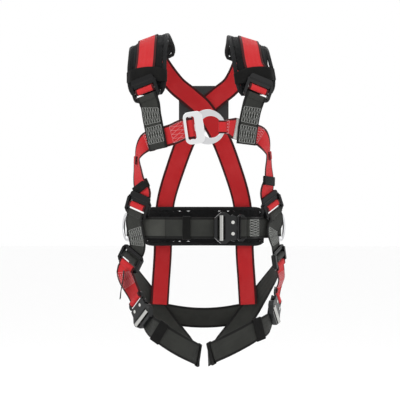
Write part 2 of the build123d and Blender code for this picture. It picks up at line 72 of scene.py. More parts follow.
def makeCamera():
    lens = bpy.data.cameras.new("camera")
    lens.lens = cameraSetup["lens"]
    lens.sensor_width = cameraSetup["sensor"]
    lens.clip_end = 100
    camera = bpy.data.objects.new("camera", lens)
    camera.location = toMetres(cameraSetup["place"])
    camera.rotation_euler = (math.radians(90), 0, 0)
    bpy.context.scene.collection.objects.link(camera)
    bpy.context.scene.camera = camera


def makeLights():
    aim = Vector((0, 0, 0.03))
    for name, facts in lightSetup.items():
        lamp = bpy.data.lights.new(name + "Light", "AREA")
        lamp.shape = "DISK"
        lamp.size = facts["size"] * mm
        lamp.energy = facts["power"]
        holder = bpy.data.objects.new(name + "Light", lamp)
        holder.location = toMetres(facts["place"])
        holder.rotation_euler = (aim - holder.location).to_track_quat("-Z", "Y").to_euler()
        bpy.context.scene.collection.objects.link(holder)
    world = bpy.data.worlds.new("studio")
    world.use_nodes = True
    sky = world.node_tree.nodes["Background"]
    sky.inputs["Color"].default_value = (*stageSetup["world"], 1)
    sky.inputs["Strength"].default_value = stageSetup["worldStrength"]
    bpy.context.scene.world = world
    bpy.context.scene.view_settings.view_transform = "Standard"


makeCamera()
makeLights()
print("camera and lights ready")


# ---- finishes
def tone(red, green, blue):    # display colour to shader colour
    return tuple((c / 255 / 12.92 if c < 11 else ((c / 255 + 0.055) / 1.055) ** 2.4) for c in (red, green, blue))


def startFinish(name, colour, roughness, metallic=0.0, **sockets):
    finish = bpy.data.materials.new(name)
    finish.use_nodes = True
    shader = finish.node_tree.nodes["Principled BSDF"]
    shader.inputs["Base Color"].default_value = (*colour, 1)
    shader.inputs["Roughness"].default_value = roughness
    shader.inputs["Metallic"].default_value = metallic
    for socket, value in sockets.items():
        shader.inputs[socket.replace("_", " ")].default_value = value
    return finish, finish.node_tree, shader


def plug(tree, socket, value):
    if isinstance(value, bpy.types.NodeSocket):
        tree.links.new(value, socket)
    else:
        socket.default_value = value


def addNode(tree, kind, inputs=(), **settings):
    made = tree.nodes.new("ShaderNode" + kind)
    for key, value in settings.items():
        setattr(made, key, value)
    for key, value in dict(inputs).items():
        plug(tree, made.inputs[key], value)
    return made


def calc(tree, operation, a, b=0.0, c=0.0):
    return addNode(tree, "Math", {0: a, 1: b, 2: c}, operation=operation).outputs[0]


def spread(tree, value, low, high, newLow=0.0, newHigh=1.0):
    sockets = {"Value": value, "From Min": low, "From Max": high, "To Min": newLow, "To Max": newHigh}
    return addNode(tree, "MapRange", sockets).outputs["Result"]


def mixColour(tree, share, first, second):
    mixer = addNode(tree, "Mix", data_type="RGBA")
    plug(tree, mixer.inputs[0], share)
    for socket, value in ((mixer.inputs[6], first), (mixer.inputs[7], second)):
        plug(tree, socket, value if isinstance(value, bpy.types.NodeSocket) else (*value, 1))
    return mixer.outputs[2]


def grain(tree, size, detail=3.0, stretch=(1, 1, 1)):    # noise with a grain of about size millimetres
    spots = addNode(tree, "TexCoord").outputs["Object"]
    scaled = addNode(tree, "Mapping", {"Vector": spots, "Scale": stretch}).outputs[0]
    return addNode(tree, "TexNoise", {"Vector": scaled, "Scale": 1 / (size * mm), "Detail": detail}).outputs["Fac"]


def roughen(tree, shader, height, depth, strength=1.0):
    bump = addNode(tree, "Bump", {"Height": height, "Distance": depth * mm, "Strength": strength})
    tree.links.new(bump.outputs[0], shader.inputs["Normal"])


webbingFinish = {"chevron": 4.5, "twill": 1.7, "rib": 1.05, "selvedgeAt": 17.4, "depth": 0.35}
turnAround = 2 * math.pi


def webbingMaterial(name, centre, faded, selvedge):
    facts = webbingFinish
    finish, tree, shader = startFinish(name, centre, 0.72, Sheen_Weight=0.06, Specular_IOR_Level=0.18)
    place = addNode(tree, "SeparateXYZ", {0: addNode(tree, "UVMap", uv_map="weave").outputs[0]})
    across, along = place.outputs[0], place.outputs[1]
    zigzag = calc(tree, "PINGPONG", calc(tree, "ADD", across, 100.0), facts["chevron"])
    slanted = calc(tree, "ADD", along, zigzag)
    twill = calc(tree, "SINE", calc(tree, "MULTIPLY", slanted, turnAround / facts["twill"]))
    ribs = calc(tree, "SINE", calc(tree, "MULTIPLY", across, turnAround / facts["rib"]))
    picks = calc(tree, "SINE", calc(tree, "MULTIPLY", along, turnAround / 2.4))
    edge = spread(tree, calc(tree, "ABSOLUTE", across), facts["selvedgeAt"] - 0.25, facts["selvedgeAt"] + 0.25)
    middleWeave = calc(tree, "MULTIPLY_ADD", ribs, 0.35, twill)
    edgeWeave = calc(tree, "MULTIPLY_ADD", ribs, 0.8, picks)
    weave = addNode(tree, "Mix", {0: edge, 2: middleWeave, 3: edgeWeave}, data_type="FLOAT").outputs[0]
    fibres = grain(tree, 0.7, 2.0)
    wear = spread(tree, grain(tree, 38, 4.0), 0.42, 0.72, 0.0, 0.55)
    body = mixColour(tree, wear, centre, faded)
    coloured = mixColour(tree, edge, body, selvedge)
    # painted shade: the colour is darkened in the weave's valleys, mixed with the fibres' own random tone
    paintedShadeColour = tuple(c * 0.45 for c in centre)
    shade = spread(tree, calc(tree, "MULTIPLY_ADD", fibres, 1.2, weave), -1.4, 1.4, 0.5, 0.0)
    tree.links.new(mixColour(tree, shade, coloured, paintedShadeColour), shader.inputs["Base Color"])
    tree.links.new(spread(tree, fibres, 0.3, 0.7, 0.6, 0.85), shader.inputs["Roughness"])
    roughen(tree, shader, weave, facts["depth"], 0.6)
    return finish


def clothMaterial(name, colour, second, pitch, depth, roughness=0.8):
    finish, tree, shader = startFinish(name, colour, roughness, Sheen_Weight=0.05, Specular_IOR_Level=0.12)
    spots = addNode(tree, "TexCoord").outputs["Object"]
    place = addNode(tree, "SeparateXYZ", {0: spots})
    ways = []
    for axis in (0, 1, 2):
        ways.append(calc(tree, "SINE", calc(tree, "MULTIPLY", place.outputs[axis], turnAround / (pitch * mm))))
    knit = calc(tree, "MULTIPLY", calc(tree, "ADD", ways[0], ways[1]), ways[2])
    patches = spread(tree, grain(tree, 30), 0.35, 0.7)
    fibres = grain(tree, 0.6, 2.0)
    worn = mixColour(tree, patches, colour, second)
    # painted shade: the colour is darkened in the knit's valleys, mixed with the fibres' own random tone
    shade = spread(tree, calc(tree, "ADD", knit, fibres), -1.2, 1.8, 0.55, 0.0)
    tree.links.new(mixColour(tree, shade, worn, tuple(c * 0.35 for c in colour)), shader.inputs["Base Color"])
    tree.links.new(spread(tree, fibres, 0.3, 0.7, roughness - 0.1, roughness + 0.1), shader.inputs["Roughness"])
    roughen(tree, shader, knit, depth, 0.5)
    return finish


def metalMaterial(name, colour, roughness, brushed=(1, 1, 8), metallic=1.0, scratch=0.04, **sockets):
    finish, tree, shader = startFinish(name, colour, roughness, metallic, **sockets)
    lines = grain(tree, 1.6, 3.0, brushed)
    smudge = grain(tree, 22, 3.0)
    both = calc(tree, "MULTIPLY_ADD", lines, 0.5, smudge)
    tree.links.new(spread(tree, both, 0.45, 1.05, roughness * 0.85, roughness * 1.2), shader.inputs["Roughness"])
    handled = spread(tree, smudge, 0.4, 0.7, 0.0, 0.12)
    tree.links.new(mixColour(tree, handled, colour, tuple(c * 0.8 for c in colour)), shader.inputs["Base Color"])
    roughen(tree, shader, lines, scratch, 0.35)
    return finish


def threadMaterial(name, colour):
    finish, tree, shader = startFinish(name, colour, 0.6, Specular_IOR_Level=0.3)
    twist = grain(tree, 0.5, 2.0)
    tree.links.new(mixColour(tree, twist, colour, tuple(c * 0.6 for c in colour)), shader.inputs["Base Color"])
    roughen(tree, shader, twist, 0.1, 0.5)
    return finish


def plasticMaterial(name, colour, roughness):
    finish, tree, shader = startFinish(name, colour, roughness, Coat_Weight=0.15, Coat_Roughness=0.3)
    leather = addNode(tree, "TexVoronoi", {"Scale": 900.0}, feature="SMOOTH_F1")
    tree.links.new(addNode(tree, "TexCoord").outputs["Object"], leather.inputs["Vector"])
    dust = spread(tree, grain(tree, 9), 0.4, 0.8, 0.0, 0.35)
    tree.links.new(mixColour(tree, dust, colour, tuple(c * 1.8 + 0.004 for c in colour)), shader.inputs["Base Color"])
    tree.links.new(spread(tree, grain(tree, 6), 0.3, 0.7, roughness * 0.8, roughness * 1.25), shader.inputs["Roughness"])
    roughen(tree, shader, leather.outputs["Distance"], 0.05, 0.4)
    return finish


redWebbing = webbingMaterial("redWebbing", tone(200, 36, 41), tone(208, 56, 59), tone(16, 12, 13))
darkWebbing = webbingMaterial("darkWebbing", tone(44, 45, 42), tone(58, 59, 55), tone(12, 12, 11))
beltWebbing = webbingMaterial("beltWebbing", tone(62, 63, 59), tone(78, 79, 74), tone(16, 16, 15))
elasticBand = clothMaterial("elasticBand", tone(12, 12, 11), tone(20, 20, 19), 1.5, 0.4, 0.75)
padFabric = clothMaterial("padFabric", tone(12, 13, 14), tone(20, 21, 22), 2.2, 0.5)
bindingTape = clothMaterial("bindingTape", tone(20, 21, 22), tone(32, 33, 34), 1.1, 0.3, 0.6)
labelCloth = clothMaterial("labelCloth", tone(226, 226, 222), tone(206, 206, 200), 0.8, 0.1, 0.6)
paleThread = threadMaterial("paleThread", tone(196, 198, 194))
roseThread = threadMaterial("roseThread", tone(236, 176, 180))
darkThread = threadMaterial("darkThread", tone(40, 40, 42))
glossBlack = metalMaterial("glossBlack", tone(12, 12, 13), 0.2, metallic=0.0, scratch=0.03, Specular_IOR_Level=0.22)
buckleBlack = metalMaterial("buckleBlack", tone(20, 21, 22), 0.3, metallic=0.0, scratch=0.05, Specular_IOR_Level=0.3)
polishedBar = metalMaterial("polishedBar", tone(176, 176, 173), 0.16)
silverSteel = metalMaterial("silverSteel", tone(226, 226, 227), 0.3, (6, 1, 1))
ringSteel = metalMaterial("ringSteel", tone(206, 206, 208), 0.32, (1, 1, 5))
rivetSteel = metalMaterial("rivetSteel", tone(212, 212, 208), 0.2)
blackPlastic = plasticMaterial("blackPlastic", tone(24, 24, 26), 0.42)
floorPaint, floorTree, floorShader = startFinish("floorPaint", (0.97, 0.97, 0.97), 0.85)
roughen(floorTree, floorShader, grain(floorTree, 60), 0.6, 0.2)
print("finishes ready")


# ---- wearer's form and the fittings' seats
formRows = [(-320, 153, 104), (-190, 166, 112), (-100, 162, 116), (0, 151, 107), (85, 144, 102),
            (165, 152, 112), (250, 180, 110), (320, 197, 102)]    # height, half width, half depth
shoulders = {"level": 320, "rise": 98, "leftDrop": 10}
front, back = -1, 1


def formAt(z):
    if z <= formRows[0][0]:
        return formRows[0][1:]
    for (z0, a0, b0), (z1, a1, b1) in zip(formRows, formRows[1:]):
        if z <= z1:
            t = (z - z0) / (z1 - z0)
            return a0 + (a1 - a0) * t, b0 + (b1 - b0) * t
    return formRows[-1][1:]


def outward(p):
    a, b = formAt(p.z)
    rise = max(0, p.z - shoulders["level"]) / shoulders["rise"] ** 2
    return Vector((p.x / a ** 2, p.y / b ** 2, rise)).normalized()


def on(side, x, z, lift):    # on the front or back
    a, b = formAt(z)
    rise = max(0, z - shoulders["level"]) / shoulders["rise"]
    p = Vector((x, side * b * math.sqrt(max(0.01, 1 - (x / a) ** 2 - rise ** 2)), z))
    out = outward(p)
    return p + out * lift, out


def over(x, swing, lift, drop=0):    # over a shoulder, swing 0 in front to 180 behind
    a, b = formAt(shoulders["level"])
    k = math.sqrt(1 - (x / a) ** 2)
    turn = math.radians(swing)
    height = (shoulders["rise"] * k - drop) * math.sin(turn)
    p = Vector((x, -b * k * math.cos(turn), shoulders["level"] + height))
    out = outward(p)
    return p + out * lift, out


def around(angle, z, lift):    # round the waist, 0 in front, 90 at +X
    a, b = formAt(z)
    turn = math.radians(angle)
    p = Vector((a * math.sin(turn), -b * math.cos(turn), z))
    out = outward(p)
    return p + out * lift, out


def free(x, y, z, facing):    # clear of the wearer
    turn = math.radians(facing)
    return Vector((x, y, z)), Vector((math.sin(turn), -math.cos(turn), 0))


def plane(origin, across, out):
    along = out.cross(across)
    turned = Matrix((across, along, out)).transposed().to_4x4()
    return Matrix.Translation(origin) @ turned


def seat(x, y, z, facing, roll):    # local X across the strap, Y along it, Z away from the wearer
    f, r = math.radians(facing), math.radians(roll)
    out = Vector((math.sin(f), -math.cos(f), 0))
    across = Vector((math.cos(f) * math.cos(r), math.sin(f) * math.cos(r), math.sin(r)))
    return plane(Vector((x, y, z)), across, out)


def at(place, along, height, across=0):
    return place @ Vector((across, along, height)), place.to_3x3() @ Vector((0, 0, 1))


sides = {"R": -1, "L": 1}
shoulderSeats = {"R": seat(-124, -103, 291, -20, 19), "L": seat(114, -107, 292, 18, -20)}
hipSeats = {"R": seat(-141, -66, 45, -36, -19), "L": seat(146, -62, 46, 48, 26)}
thighSeats = {"R": seat(-157, -56, -67, -38, -32), "L": seat(161, -48, -64, 66, 20)}
legSeats = {"R": seat(-132, -89, -183, -52, 40), "L": seat(152, -68, -177, 72, -42)}
waistSeat = seat(45, -122, 0, 8, -90)
hookSeat = seat(-21, -126, 210, 0, 8)
chestLoopSeat = seat(38.7, -126, 212, 0, -90)

webbing = {"width": 45, "thick": 2, "gap": 0.4}
adjuster = {"height": 42, "window": 26, "plate": 4, "bar": 3, "barAt": -1, "travel": 2.5, "clear": 0.3}
buckle = {"low": -7, "plate": 2.5, "cavity": 6, "rib": 6, "ribAt": -9, "tongue": 3.4, "tongueBar": 38.5}
sternal = {"slotAt": -6, "barDeep": -2.6, "ringThick": 4}
thick = webbing["thick"]
lowerBar = -(adjuster["window"] + adjuster["height"]) / 4
pastBar = lowerBar - 6.6
behindBar = adjuster["bar"] + adjuster["clear"] + thick / 2
ribMiddle = buckle["low"] + buckle["plate"] / 2
ribBack = ribMiddle - buckle["plate"] / 2 - 0.55 - thick / 2
tongueMiddle = buckle["low"] + buckle["plate"] + buckle["cavity"] / 2
tongueBack = tongueMiddle - buckle["tongue"] / 2 - 0.5 - thick / 2
hookBack = sternal["barDeep"] - 2 - thick / 2
barAt, ribAt, tongueBar = adjuster["barAt"], buckle["ribAt"], buckle["tongueBar"]


# ---- paths that webbing follows
def smooth(route, steps):
    points = [p for p, _ in route]
    points = [points[0] * 2 - points[1]] + points + [points[-1] * 2 - points[-2]]
    line = []
    for i in range(1, len(points) - 2):
        p0, p1, p2, p3 = points[i - 1:i + 3]
        reach = (p2 - p1).length
        before = (p2 - p0) * (reach / max(1e-6, (p1 - p0).length + reach))
        after = (p3 - p1) * (reach / max(1e-6, (p3 - p2).length + reach))
        out0, out1 = route[i - 1][1], route[i][1]
        count = max(2, round(reach / steps))
        for j in range(count + (i == len(points) - 3)):
            t = j / count
            a, b = 2 * t ** 3 - 3 * t ** 2 + 1, t ** 3 - 2 * t ** 2 + t
            c, d = 3 * t ** 2 - 2 * t ** 3, t ** 3 - t ** 2
            line.append((p1 * a + before * b + p2 * c + after * d, out0 * (1 - t) + out1 * t))
    return line


def pathAlong(route, steps=3.5):
    line = smooth(route, steps)
    path = {"s": [], "p": [], "n": [], "side": [], "closed": False}
    gone = 0
    for i, (p, out) in enumerate(line):
        ahead = line[min(i + 1, len(line) - 1)][0] - line[max(i - 1, 0)][0]
        along = ahead.normalized()
        normal = (out - along * out.dot(along)).normalized()
        gone += (p - line[max(i - 1, 0)][0]).length
        for key, value in (("s", gone), ("p", p), ("n", normal), ("side", along.cross(normal))):
            path[key].append(value)
    path["total"] = gone
    return path


def pathRound(place, high, deep, radius, corner=7, straight=2):    # closed, round a bar along the place's X
    outline = []
    for cornerAt, (cy, cz) in enumerate(((1, 1), (-1, 1), (-1, -1), (1, -1))):
        for k in range(corner + 1):
            turn = math.radians(90 * (cornerAt + k / corner))
            normal = Vector((0, math.cos(turn), math.sin(turn)))
            middle = Vector((0, cy * (high / 2 - radius), cz * (deep / 2 - radius)))
            outline.append((middle + normal * radius, normal))
    path = {"s": [], "p": [], "n": [], "side": [], "closed": True}
    turned = place.to_3x3()
    gone = 0
    for i, (p, normal) in enumerate(outline):
        gone += (p - outline[max(i - 1, 0)][0]).length
        for key, value in (("s", gone), ("p", place @ p), ("n", turned @ normal), ("side", turned @ Vector((1, 0, 0)))):
            path[key].append(value)
    path["total"] = gone + (outline[0][0] - outline[-1][0]).length
    return path


def spot(path, s, across, height):
    i = min(max(bisect_right(path["s"], s) - 1, 0), len(path["s"]) - 2)
    span = max(1e-6, path["s"][i + 1] - path["s"][i])
    t = (s - path["s"][i]) / span
    p = path["p"][i].lerp(path["p"][i + 1], t)
    n = path["n"][i].lerp(path["n"][i + 1], t).normalized()
    side = path["side"][i].lerp(path["side"][i + 1], t).normalized()
    return p + side * across + n * height


def normalAt(path, s):
    i = min(max(bisect_right(path["s"], s) - 1, 0), len(path["s"]) - 2)
    return path["n"][i]


def distanceWhere(path, axis, value):    # how far along a path is nearest to a coordinate
    return min(zip(path["s"], path["p"]), key=lambda pair: abs(pair[1][axis] - value))[0]


# ---- mesh makers
stripProfile = [(-0.5, 0), (-0.491, 0.62), (-0.468, 1), (-0.4, 1.02), (-0.37, 0.9), (-0.18, 0.86), (0, 0.86),
                (0.18, 0.86), (0.37, 0.9), (0.4, 1.02), (0.468, 1), (0.491, 0.62)]


def newBag():
    return {"verts": [], "faces": [], "uvs": [], "skins": []}


def addFace(bag, corners, uvs, skin):
    bag["faces"].append(corners)
    bag["uvs"].append(uvs)
    bag["skins"].append(skin)


def ringProfile(shape):
    return shape + [(-u, -h) for u, h in shape]


def addStrip(bag, path, skin=0, width=45, deep=None, lift=0, shape=stripProfile, widthAt=None, deepAt=None,
             ripple=0.25, seed=0, start=0, end=None, uvStart=0):
    deep = thick * 0.96 if deep is None else deep
    ring = ringProfile(shape)
    end = path["total"] if end is None else end
    stations = [s for s in path["s"] if start < s < end] if not path["closed"] else path["s"]
    if not path["closed"]:
        stations = [start] + stations + [end]
    first, n = len(bag["verts"]), len(ring)
    for s in stations:
        share = (s - start) / max(1e-6, end - start)
        wide = width * (widthAt(share) if widthAt else 1)
        high = deep * (deepAt(share) if deepAt else 1)
        wave = 0 if path["closed"] else ripple * noise.noise(Vector((s / 34, seed * 7.3, 0.5)))
        cup = 0 if path["closed"] else ripple * noise.noise(Vector((s / 60, seed * 3.1, 9.5)))
        for u, h in ring:
            bag["verts"].append(spot(path, s, u * wide, h * high / 2 + lift + wave + cup * (2 * u) ** 2) * mm)
    flat = webbing["width"]
    count = len(stations)
    for i in range(count if path["closed"] else count - 1):
        j = (i + 1) % count
        s0 = stations[i] + uvStart
        s1 = (path["total"] if j == 0 else stations[j]) + uvStart
        for k in range(n):
            m = (k + 1) % n
            u0, u1 = ring[k][0] * flat, ring[m][0] * flat
            corners = (first + i * n + k, first + i * n + m, first + j * n + m, first + j * n + k)
            addFace(bag, corners, ((u0, s0), (u1, s0), (u1, s1), (u0, s1)), skin)
    if not path["closed"]:
        for i, order in ((0, 1), (count - 1, -1)):
            corners = [first + i * n + k for k in range(n)][::order]
            addFace(bag, corners, [(0, stations[i])] * n, skin)


def addLoop(bag, place, along, height, innerHigh, innerDeep, skin=0, width=45, across=0):    # webbing round a bar
    middle = place @ Matrix.Translation((across, along, height))
    radius = (min(innerHigh, innerDeep) + thick) * 0.49
    path = pathRound(middle, innerHigh + thick, innerDeep + thick, radius)
    addStrip(bag, path, skin, width)


def addTube(bag, centres, firsts, seconds, wide, high, skin, closed=True, sidesOf=10, sizes=None):
    first, n, count = len(bag["verts"]), sidesOf, len(centres)
    for i in range(count):
        size = sizes[i] if sizes else 1
        for k in range(n):
            turn = turnAround * k / n
            reach = firsts[i] * (math.cos(turn) * wide * size) + seconds[i] * (math.sin(turn) * high * size)
            bag["verts"].append((centres[i] + reach) * mm)
    for i in range(count if closed else count - 1):
        j = (i + 1) % count
        for k in range(n):
            m = (k + 1) % n
            corners = (first + i * n + k, first + i * n + m, first + j * n + m, first + j * n + k)
            addFace(bag, corners, ((k, i), (k + 1, i), (k + 1, i + 1), (k, i + 1)), skin)
    if not closed:
        for i, order in ((0, 1), (count - 1, -1)):
            addFace(bag, [first + i * n + k for k in range(n)][::order], [(0, i)] * n, skin)


stitching = {"pitch": 3.4, "gap": 0.8, "thread": 0.85, "rise": 0.3}


def addStitches(bag, path, lines, height, skin, pitch=None):
    facts = stitching
    pitch = pitch or facts["pitch"]
    for line in lines:
        for (u0, s0), (u1, s1) in zip(line, line[1:]):
            reach = math.hypot(u1 - u0, s1 - s0)
            count = max(1, round(reach / pitch))
            trim = facts["gap"] / 2 / (reach / count)
            for k in range(count):
                centres = []
                for t, rise in ((trim, -0.25), (0.3, 1), (0.7, 1), (1 - trim, -0.25)):
                    share = (k + t) / count
                    u, s = u0 + (u1 - u0) * share, s0 + (s1 - s0) * share
                    centres.append(spot(path, s, u, height + facts["rise"] * rise))
                normal = normalAt(path, s0 + (s1 - s0) * (k + 0.5) / count)
                across = (centres[-1] - centres[0]).normalized().cross(normal)
                half = facts["thread"] / 2
                addTube(bag, centres, [across] * 4, [normal] * 4, half, half * 0.75, skin, False, 5, (0.5, 1, 1, 0.5))


def crossPanel(s, length, width=33, strokes=6):    # zigzags that cross inside a box, as webbing is joined
    left, end = -width / 2, s + length
    zig = [(left + width * i / strokes, end if i % 2 else s) for i in range(strokes + 1)]
    zag = [(u, s + end - v) for u, v in zig]
    box = [(left - 1, s - 1), (-left + 1, s - 1), (-left + 1, end + 1), (left - 1, end + 1), (left - 1, s - 1)]
    return [zig, zag, box]


def makePiece(bag, name, skins, body="harness", replaces=()):
    mesh = bpy.data.meshes.new(name)
    mesh.from_pydata(bag["verts"], [], bag["faces"])
    weave = mesh.uv_layers.new(name="weave")
    corner = 0
    for face, uvs, skin in zip(mesh.polygons, bag["uvs"], bag["skins"]):
        face.material_index = skin
        face.use_smooth = True
        for uv in uvs:
            weave.data[corner].uv = uv
            corner += 1
    for skin in skins:
        mesh.materials.append(skin)
    mesh.validate()
    piece = bpy.data.objects.new(name, mesh)
    bpy.context.scene.collection.objects.link(piece)
    return finishPiece(piece, body, replaces)


def finishPiece(piece, body="harness", replaces=()):
    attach(piece, body)
    if replaces:
        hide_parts(*replaces)
    return piece


def barLoop(bag, place, skin=0):    # the roller of webbing on an adjuster's sliding bar
    high = 2 * (adjuster["bar"] + adjuster["clear"]) + adjuster["travel"]
    addLoop(bag, place, barAt + adjuster["travel"] / 2, 0, high, 2 * (adjuster["bar"] + adjuster["clear"]), skin)


def frameLoop(bag, place, skin=0):    # webbing folded on an adjuster's lower bar
    high = (adjuster["height"] - adjuster["window"]) / 2 + 2.4
    addLoop(bag, place, lowerBar, 0, high, adjuster["plate"] + 1, skin)


def ribLoop(bag, place, skin=0):
    addLoop(bag, place, ribAt, ribMiddle, buckle["rib"] + 2, buckle["plate"] + 1.1, skin)


def tongueLoop(bag, place, skin=0):
    addLoop(bag, place, tongueBar + 0.25, tongueMiddle, 8.6, buckle["tongue"] + 1, skin)


# ---- lifts of the layers over the wearer
padding = {"thick": 10, "lumbarThick": 9}
onPad = padding["thick"] + 2 + webbing["gap"] + thick / 2
under = 2.2
middle = under + thick + webbing["gap"]
upper = middle + thick + webbing["gap"]
webLift = upper + thick + webbing["gap"]
onLumbar = padding["lumbarThick"] + 3
padLift = 1 + padding["thick"] / 2
tailFold = thick + webbing["gap"] + 0.2


def backStrap(side, crossing):
    return [on(back, side * 62, 318, 9), on(back, side * 30, 290, crossing), on(back, 0, 262, crossing),
            on(back, -side * 34, 205, crossing), on(back, -side * 62, 130, middle),
            on(back, -side * 78, 60, onLumbar + 3), on(back, -side * 84, 0, onLumbar + 3),
            on(back, -side * 88, -60, onLumbar - 3), on(back, -side * 94, -125, middle),
            on(back, -side * 97, -175, middle)]


drop = shoulders["leftDrop"]
shoulderLines = {
    "R": [on(front, -119, 345, 0), over(-117, 55, 0), over(-116, 90, 0), over(-108, 125, 0), over(-98, 150, 0)],
    "L": [on(front, 102, 342, 0), over(95, 55, 0, drop), over(92, 90, 0, drop), over(90, 125, 0, drop),
          over(84, 150, 0, drop)],
}
padStarts = {"R": [on(front, -119, 282, 0), on(front, -119, 312, 0)],
             "L": [on(front, 110, 282, 0), on(front, 107, 312, 0)]}
chestWebEnds = {"R": ((-106, 235), (-99, 200), (-92, 166)), "L": ((94, 237), (89, 208), (85, 176))}


# ---- pads: padded fabric by cloth simulation, then seams and binding
padShape = {"core": 0.62, "voxel": 4.5, "pressure": 4.0, "cap": 5.0, "frames": 20, "bindingWide": 4.6}
crown = [(-0.5, 0), (-0.485, 0.42), (-0.44, 0.78), (-0.33, 0.98), (-0.16, 1), (0, 1), (0.16, 1), (0.33, 0.98),
         (0.44, 0.78), (0.485, 0.42)]


def settled(piece):    # the mesh with its modifiers applied
    graph = bpy.context.evaluated_depsgraph_get()
    mesh = bpy.data.meshes.new_from_object(piece.evaluated_get(graph))
    piece.modifiers.clear()
    piece.data = mesh
    return mesh


def inflate(piece):
    remesh = piece.modifiers.new("remesh", "REMESH")
    remesh.mode = "VOXEL"
    remesh.voxel_size = padShape["voxel"] * mm
    rest = [v.co.copy() for v in settled(piece).vertices]
    cloth = piece.modifiers.new("cloth", "CLOTH")
    cloth.settings.use_pressure = True
    cloth.settings.uniform_pressure_force = padShape["pressure"]
    cloth.settings.effector_weights.gravity = 0
    cloth.point_cache.frame_start = 1
    cloth.point_cache.frame_end = padShape["frames"]
    for step in range(1, padShape["frames"] + 1):
        bpy.context.scene.frame_set(step)
    mesh = settled(piece)
    bpy.context.scene.frame_set(1)
    cap = padShape["cap"] * mm
    for v, start in zip(mesh.vertices, rest):
        moved = v.co - start
        if moved.length > cap:
            v.co = start + moved * (cap / moved.length)
    soften = piece.modifiers.new("soften", "SUBSURF")
    soften.levels = soften.render_levels = 1
    settled(piece)


def nearPath(path):
    tree = kdtree.KDTree(len(path["p"]))
    for i, p in enumerate(path["p"]):
        tree.insert(p * mm, i)
    tree.balance()
    return tree


def sewPad(piece, path, halfThick, channels, flatUnder, tree, lift=0.8):    # sunken seams, and flat under the strap
    for v in piece.data.vertices:
        i = tree.find(v.co)[1]
        away = v.co / mm - path["p"][i]
        across, height = away.dot(path["side"][i]), away.dot(path["n"][i])
        along = path["s"][i]
        wanted = height
        for place, kind in channels:
            gap = abs((across if kind == "u" else along) - place)
            if gap < 6:
                wanted *= 1 - 0.42 * math.cos(gap / 6 * math.pi / 2) ** 2
        crease = 0.5 * noise.noise(Vector((along / 13, across / 21, piece.data.vertices[0].co.x * 40)))
        wanted += crease if height > 0 else 0
        if abs(across) < flatUnder:
            wanted = min(wanted, halfThick + lift)
        wanted = max(wanted, -halfThick - 0.6)
        v.co += path["n"][i] * ((wanted - height) * mm)
    for face in piece.data.polygons:
        face.use_smooth = True


def padEdge(path, halfWide, endShare, inset, tip=30, steps=6):    # outline of a pad as (along, across)
    total = path["total"]

    def halfAt(s):
        near = min(s, total - s) / tip
        return halfWide if near >= 1 else halfWide * (endShare + (1 - endShare) * math.sqrt(max(0, 1 - (1 - near) ** 2)))

    side = []
    count = max(8, round(total / steps))
    for k in range(count + 1):
        s = inset + (total - 2 * inset) * k / count
        side.append((s, halfAt(max(s, 0.02)) - inset))
    endSteps = 8
    outline = list(side)
    for k in range(1, endSteps):
        share = 1 - 2 * k / endSteps
        outline.append((total - inset + 0.5 * (1 - share ** 2), side[-1][1] * share))
    outline += [(s, -u) for s, u in reversed(side)]
    for k in range(1, endSteps):
        share = -1 + 2 * k / endSteps
        outline.append((inset - 0.5 * (1 - share ** 2), side[0][1] * share))
    return outline


def addBinding(bag, path, outline, wide, high, skin):
    centres = [spot(path, s, u, 0) for s, u in outline]
    normals = [normalAt(path, s) for s, _ in outline]
    count = len(centres)
    acrosses = []
    for i in range(count):
        ahead = (centres[(i + 1) % count] - centres[i - 1]).normalized()
        acrosses.append(ahead.cross(normals[i]).normalized())
    addTube(bag, centres, acrosses, normals, wide, high, skin, True, 12)


def makePad(name, route, width, deep, endShare, channels, flatUnder, node, body="harness"):
    path = pathAlong(route, 6)
    half = deep / 2

    def widthAt(share):
        near = min(share, 1 - share) * path["total"] / 30
        return 1 if near >= 1 else endShare + (1 - endShare) * math.sqrt(max(0, 1 - (1 - near) ** 2))

    bag = newBag()
    core = deep * padShape["core"]
    addStrip(bag, path, 0, width - 3, core, 0, crown, widthAt, lambda share: 1, 0, 0, 1.5, path["total"] - 1.5)
    piece = makePiece(bag, name, [padFabric], body, (node,))
    inflate(piece)
    sewPad(piece, path, half, channels, flatUnder, nearPath(path))
    edge = newBag()
    inset = padShape["bindingWide"] - 0.6
    outline = padEdge(path, width / 2, endShare, inset)
    addBinding(edge, path, outline, padShape["bindingWide"], half * 0.5, 0)
    inner = [(u, s) for s, u in padEdge(path, width / 2, endShare, inset + 2.2)]
    inner.append(inner[0])
    addStitches(edge, path, [inner], half * 0.5 + 0.1, 1, 3.6)
    makePiece(edge, name + "Binding", [bindingTape, darkThread], body)
    return path


shoulderPad = {"width": 90, "endShare": 0.7, "channel": 31, "fill": 0.6}
lumbarPad = {"height": 86, "endShare": 0.75, "channels": (-24, 24), "fill": 0.7}
padPaths = {}
for s in sides:
    facts = shoulderPad
    route = [(p + out * padLift, out) for p, out in padStarts[s] + shoulderLines[s]]
    seams = [(facts["channel"], "u"), (-facts["channel"], "u")]
    padPaths[s] = makePad("shoulderPad" + s, route, facts["width"], padding["thick"], facts["endShare"], seams, 26,
                          "shoulder_pad_" + s.lower())
    print("shoulder pad", s, "ready")
lumbarLift = 1.5 + padding["lumbarThick"] / 2
lumbarRoute = [around(angle, 0, lumbarLift) for angle in (-122, -140, -160, 180, 160, 140, 122)]
seams = [(u, "u") for u in lumbarPad["channels"]]
makePad("lumbarPad", lumbarRoute, lumbarPad["height"], padding["lumbarThick"], lumbarPad["endShare"], seams, 26,
        "lumbar_pad")
print("lumbar pad ready")


